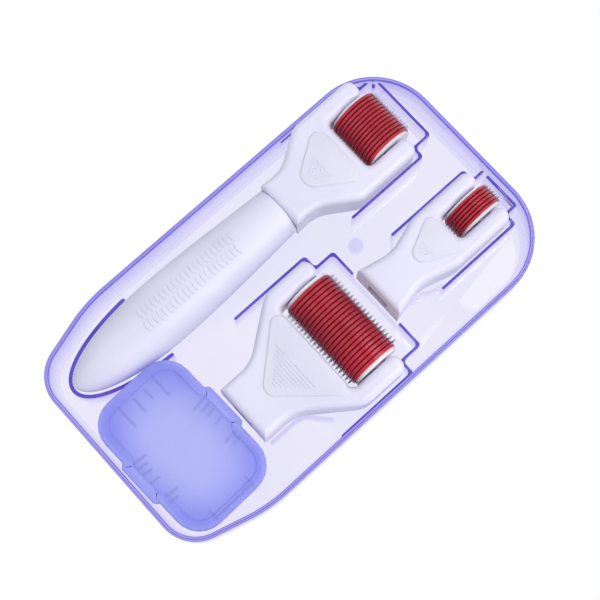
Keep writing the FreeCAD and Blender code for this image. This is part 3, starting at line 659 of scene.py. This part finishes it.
def tail_fence():
    seam, middle, _ = handle_place()
    gap = 0.75 + RIB / 2
    side = []
    for step in range(25):
        along = 62.5 + (96.3 - 62.5) * (1 - (1 - step / 24) ** 2)
        half = handle_width(along)
        ahead = handle_width(min(96.3, along + 0.05)) - handle_width(max(0, along - 0.05))
        normal = Vector((-0.1, -ahead)).normalized() if step < 24 else Vector((1, 0))
        lean = Vector((ahead, 0.1)).normalized() if step < 24 else Vector((-1, 0))
        out = Vector((-abs(ahead), 0.1)).normalized() if step < 24 else Vector((-1, 0))
        side.append((seam - along + out.x * gap, half + out.y * gap))
    path = [(x, middle + y) for x, y in side] + [(x, middle - y) for x, y in side[-2::-1]]
    return rib("tail_fence", path, thickness=1.5, radius=0.4, steps=1)


def boss():
    """A small round pin, domed on top, in the middle of the floor."""
    profile = [(0.3, 5.5), (2.75, 5.5), (2.75, 9.0)]
    loops = []
    for radius, z in [(2.9, 5.5), (2.75, 10.6)] + [
            (2.75 * math.cos(a * math.pi / 12), 10.6 + 2.0 * math.sin(a * math.pi / 12))
            for a in range(1, 6)]:
        loops.append([(31.9 + radius * math.cos(2 * math.pi * i / 40),
                       1.1 + radius * math.sin(2 * math.pi * i / 40), z) for i in range(40)])
    return loops_mesh("tray_pin", loops, smooth=40.0)


def united(piece, others):
    """One solid from a piece and the ones that grow out of it, worked out in millimetres."""
    for part in [piece] + others:
        part.data.transform(Matrix.Scale(1 / MM, 4))
    for other in others:
        union = piece.modifiers.new("union", "BOOLEAN")
        union.operation = "UNION"
        union.solver = "EXACT"
        union.object = other
        with bpy.context.temp_override(object=piece, active_object=piece):
            bpy.ops.object.modifier_apply(modifier=union.name)
        bpy.data.objects.remove(other)
    piece.data.transform(Matrix.Scale(MM, 4))
    finish_shading(piece, 32.0)
    return piece


tray = united(tray_shell(), pocket_ribs() + low_guides() + [tail_fence(), boss()])
tray.name = "tray_body"
finish(tray, "tray_plastic", "tray", "case_tray")


# ------------------------------------------------------------------------ tank

TANK_TURN = math.radians(1.5)


def tank_frame():
    """Centre of the tank and how far its lid reaches along its own axes, without the tabs."""
    low, high = node_box("tank_lid")
    return (low + high) / 2, 19.2, 28.6, high.z


def on_tank(x, y):
    centre = tank_frame()[0]
    c, s = math.cos(TANK_TURN), math.sin(TANK_TURN)
    return centre.x + x * c - y * s, centre.y + x * s + y * c


def lid_shell():
    centre, half_x, half_y, top = tank_frame()
    tab, out, corner, bend = 8.75, 1.6, 10.5, 1.4
    right = [(half_x, -half_y, corner), (half_x, -tab - 0.6, bend),
             (half_x + out, -tab + 0.6, bend), (half_x + out, tab - 0.6, bend),
             (half_x, tab + 0.6, bend), (half_x, half_y, corner)]
    left = [(-x, -y, r) for x, y, r in right]
    corners = [(*on_tank(x, y), r) for x, y, r in right + left]
    skirt = top - 4.6
    profile = [(1.2, top - 1.6), (1.2, skirt), (0.25, skirt), (0.0, skirt + 0.25)]
    profile += quarter(0.0, top - 0.8, 0.8, 0.8, 5)
    profile += [(3.3, top), (3.5, top - 0.26), (3.9, top - 0.3), (4.15, top - 0.06)]
    profile += [(4.3, top - 0.03)]
    return swept("lid_shell", corners, profile, steps=6, smooth=38.0)


def lid_ribs():
    """Stiffening ribs under the lid's edge: four to a side, and two at the south end."""
    top = tank_frame()[3]
    lines = [((-7.3, 25.4), (-7.3, 15.6)), ((-1.3, 23.4), (-1.3, 17.0)),
             ((3.5, 23.4), (3.5, 18.8)), ((8.5, 25.4), (8.5, 15.4)),
             ((8.3, -22.6), (8.3, -27.2)), ((-8.4, -22.6), (-8.4, -27.2)),
             ((-7.5, -26.4), (7.5, -26.4))]
    for side in (1, -1):
        for y, reach in ((6.6, 6.0), (1.6, 4.0), (-2.2, 4.0), (-9.2, 6.0)):
            lines.append(((side * 16.8, y), (side * (16.8 - reach), y - 0.5)))
            if reach > 5:
                lines.append(((side * 16.8, y - 2.3), (side * (16.8 - reach * 0.7), y - 2.8)))
    ribs = []
    for i, line in enumerate(lines):
        path = [on_tank(*point) for point in line]
        thin = 0.5 if i == 6 else 1.0
        ribs.append(rib(f"lid_rib_{i}", path, top=top - 1.45, thickness=thin, base=top - 3.4))
    return join("lid_ribs", ribs)


finish(lid_shell(), "frosted_plastic", "lid", "tank_lid")
# The ribs take the deep blue painted-shade finish.
finish(lid_ribs(), "lid_rib", "lid")


# ------------------------------------------------------------------------ handle

def top_of_handle(x, y):
    """Height of the handle's skin above a point."""
    seam, middle, axis = handle_place()
    half = handle_width(seam - x)
    across = min(0.995, abs(y - middle) / max(half, 0.1))
    return axis + half * 0.802 * math.sqrt(1 - across * across)


def raised_line(name, points, width, height, skin, sink=0.15, rounds=5):
    """A half-round ridge along points (x, y) that lies on a skin height function."""
    loops = []
    count = len(points)
    for i, (x, y) in enumerate(points):
        before = Vector(points[max(0, i - 1)])
        after = Vector(points[min(count - 1, i + 1)])
        along = (after - before).normalized()
        across = Vector((-along.y, along.x))
        share = min(i, count - 1 - i) / max(1, (count - 1) / 2)
        swell = math.sqrt(max(0.06, 1 - (1 - min(1, share * 3)) ** 2))
        loop = []
        for step in range(rounds + 1):
            angle = math.pi * step / rounds
            offset = across * (math.cos(angle) * width / 2 * swell)
            px, py = x + offset.x, y + offset.y
            loop.append((px, py, skin(px, py) + math.sin(angle) * height * swell - 0.01))
        for step in (1, 0):
            offset = across * ((1 if step == 0 else -1) * width / 2 * swell)
            px, py = x + offset.x, y + offset.y
            loop.append((px, py, skin(px, py) - sink))
        loops.append(loop)
    return loops_mesh(name, loops, smooth=60.0)


def handle_grip():
    seam, middle, axis = handle_place()
    loops = []
    stations = [i * 1.1 for i in range(50)]
    stations += [54.8 + (96.3 - 54.8) * math.sin(math.pi / 2 * i / 40) for i in range(1, 40)]
    around = 72
    edge = [(0.0, 0.45), (0.12, 0.2), (0.4, 0.05)]
    rows = [(x, handle_width(x) - cut) for x, cut in edge]
    rows += [(x, handle_width(x)) for x in stations if x > 0.8]
    rows.append((96.27, 0.25))
    for x, half in rows:
        half = max(half, 0.2)
        loops.append([(seam - x, middle + half * math.cos(2 * math.pi * i / around),
                       axis + half * 0.802 * math.sin(2 * math.pi * i / around))
                      for i in range(around)])
    grip = loops_mesh("handle_grip", loops, smooth=50.0)
    ridges = []
    for row, (inner, outer) in enumerate(((0.4, 4.9), (-4.6, -0.1))):
        for i in range(22):
            x = seam - 20.6 - i * 2.0 - row * 1.0
            points = []
            for step in range(9):
                t = step / 8
                y = middle + inner + (outer - inner) * t
                points.append((x - 0.55 * math.sin(math.pi * t), y))
            ridges.append(raised_line(f"grip_{row}_{i}", points, 0.7, 0.2, top_of_handle))
    return join("handle_grip", [grip] + ridges)


finish(handle_grip(), "white_plastic", "handle", "handle_upper_shell", "handle_lower_shell")


# ------------------------------------------------------------------------ head details

def flat_skin(height):
    return lambda x, y: height


def neck_ridges(head, start, count, pitch, half_at):
    """Fine upright ridges on both sides of a neck."""
    low, high = node_box(f"{head}_head_fork")
    axle, middle, arms, drum = head_places(head)
    pieces = []
    for side in (1, -1):
        for i in range(count):
            x = low.x + start + i * pitch
            y = middle + side * half_at(x - low.x)
            loops = []
            for z, swell in ((high.z - 4.4, 0.3), (high.z - 4.0, 0.8), (high.z - 2.4, 1.0),
                             (high.z - 1.2, 0.9), (high.z - 0.75, 0.3)):
                drop = max(0.0, z - (high.z - 2.6))
                reach = 2.6 - math.sqrt(max(0.0, 2.6 ** 2 - drop ** 2))
                centre_y = y - side * reach
                loops.append([(x + 0.32 * swell * math.cos(2 * math.pi * k / 8),
                               centre_y + 0.32 * swell * math.sin(2 * math.pi * k / 8), z)
                              for k in range(8)])
            pieces.append(loops_mesh(f"{head}_neck_ridge_{side + 1}_{i}", loops, smooth=60.0))
    return pieces


def panel(head, base, half, apex, base_radius, apex_radius, rise=0.32):
    """A raised rounded triangle whose point looks back along the neck."""
    low, high = node_box(f"{head}_head_fork")
    axle, middle, arms, drum = head_places(head)
    top = high.z
    corners = [(axle - base, middle - half, base_radius), (axle - base, middle + half, base_radius),
               (axle - apex, middle, apex_radius)]
    profile = [(-0.55, top - 0.1), (-0.45, top + 0.02)] + [
        (-0.1 + 0.35 * (1 - math.cos(a)), top + 0.05 + (rise - 0.05) * math.sin(a))
        for a in (0.0, 0.4, 0.8, 1.2, math.pi / 2)]
    return swept(f"{head}_panel", corners, profile, steps=10, smooth=50.0)


def body_ridges():
    low, high = node_box("body_head_fork")
    axle, middle, arms, drum = head_places("body")
    skin = flat_skin(high.z + 0.3)
    ridges = []
    for i in range(9):
        x = axle - 21.8 - i * 1.23
        half = 11.0 - i * 1.22
        points = [(x, middle + half * (2 * t / 12 - 1)) for t in range(13)]
        ridges.append(raised_line(f"body_ridge_{i}", points, 0.62, 0.26, skin))
    return ridges


def dot_grid(head, start, pitch, rows, columns, radius):
    """Small round dots in staggered rows near a panel's point."""
    low, high = node_box(f"{head}_head_fork")
    axle, middle, arms, drum = head_places(head)
    top = high.z + 0.28
    dots = []
    for row in range(rows):
        for column in range(columns + row):
            x = axle - start + row * pitch
            y = middle + (column - (columns + row - 1) / 2) * pitch * 1.15
            loops = []
            for size, rise in ((radius, 0.0), (radius * 0.92, 0.1), (radius * 0.6, 0.19),
                               (radius * 0.2, 0.22)):
                loops.append([(x + size * math.cos(2 * math.pi * k / 10),
                               y + size * math.sin(2 * math.pi * k / 10), top + rise)
                              for k in range(10)])
            dots.append(loops_mesh(f"{head}_dot_{row}_{column}", loops, smooth=60.0))
    return dots


face_parts = [panel("face", 15.2, 14.3, 37.0, 3.6, 5.0)]
face_parts += dot_grid("face", 29.3, 1.25, 5, 3, 0.34)
face_parts += neck_ridges("face", 0.7, 13, 0.95, lambda x: 9.85 - 0.35 * math.sin(x / 9.5 * 1.57))
finish(join("face_head_detail", face_parts), "white_plastic", "handle")

body_parts = [panel("body", 13.6, 21.0, 37.5, 2.6, 4.0)] + body_ridges()
finish(join("body_head_detail", body_parts), "white_plastic", "body_head")

eye_parts = [panel("eye", 14.0, 9.2, 33.5, 2.4, 3.4)] + dot_grid("eye", 26.3, 1.1, 4, 2, 0.26)
finish(join("eye_head_detail", eye_parts), "white_plastic", "eye_head")


# ------------------------------------------------------------------------ stage

def flat_material(name, colour, roughness=0.9):
    m = Nodes(name)
    m.set(Base_Color=colour, Roughness=roughness)
    return m


def add_floor():
    """A pale floor that reads white straight on and fades the object's shadow into it."""
    low, high = cad_box
    bpy.ops.mesh.primitive_plane_add(size=6.0, location=(0, 0, low[2]))
    floor = bpy.context.object
    floor.name = "floor"
    m = flat_material("floor_white", srgb(244, 244, 250))
    shown = m.tree.nodes.new("ShaderNodeEmission")
    shown.inputs["Color"].default_value = (1.0, 1.0, 1.0, 1.0)
    blend = m.tree.nodes.new("ShaderNodeMixShader")
    path = m.tree.nodes.new("ShaderNodeLightPath")
    straight = m.math("MAXIMUM", path.outputs["Is Camera Ray"], path.outputs["Is Glossy Ray"])
    through = m.math("MULTIPLY", path.outputs["Is Transmission Ray"], 0.08)
    m.link(m.math("MAXIMUM", straight, through), blend.inputs["Fac"])
    m.link(m.shader.outputs["BSDF"], blend.inputs[1])
    m.link(shown.outputs["Emission"], blend.inputs[2])
    m.link(blend.outputs["Shader"], m.output.inputs["Surface"])
    floor.data.materials.append(m.material)


def add_light(name, place, size, power, length=None):
    data = bpy.data.lights.new(name, "AREA")
    data.shape = "RECTANGLE"
    data.size = size
    data.size_y = length or size
    data.energy = power
    lamp = bpy.data.objects.new(name, data)
    lamp.location = place
    lamp.rotation_euler = (-Vector(place)).to_track_quat("-Z", "Y").to_euler()
    bpy.context.scene.collection.objects.link(lamp)


def add_world():
    world = bpy.data.worlds.new("studio")
    bpy.context.scene.world = world
    world.use_nodes = True
    back = world.node_tree.nodes["Background"]
    back.inputs["Color"].default_value = (0.98, 0.98, 1.0, 1.0)
    back.inputs["Strength"].default_value = 0.6


def add_camera():
    data = bpy.data.cameras.new("camera")
    camera = bpy.data.objects.new("camera", data)
    bpy.context.scene.collection.objects.link(camera)
    data.lens = 80.8
    data.sensor_width = 36.0
    data.clip_start = 0.01
    data.clip_end = 20.0
    azimuth, elevation = math.radians(-42.24), math.radians(78.0)
    camera.location = (-0.0657, -0.0758, 0.4903)
    away = Vector((0.1398, 0.1539, -0.9781))
    camera.rotation_euler = away.to_track_quat("-Z", "Y").to_euler()
    bpy.context.scene.camera = camera


add_floor()
add_camera()
add_world()
add_light("main", (0.35, -0.75, 0.9), 0.9, 7.0)
add_light("fill", (-0.6, 0.5, 1.0), 1.0, 1.5)
add_light("strip", (0.62, 0.0, 0.95), 0.09, 1.8, length=0.9)

bpy.context.scene.view_settings.view_transform = "Standard"
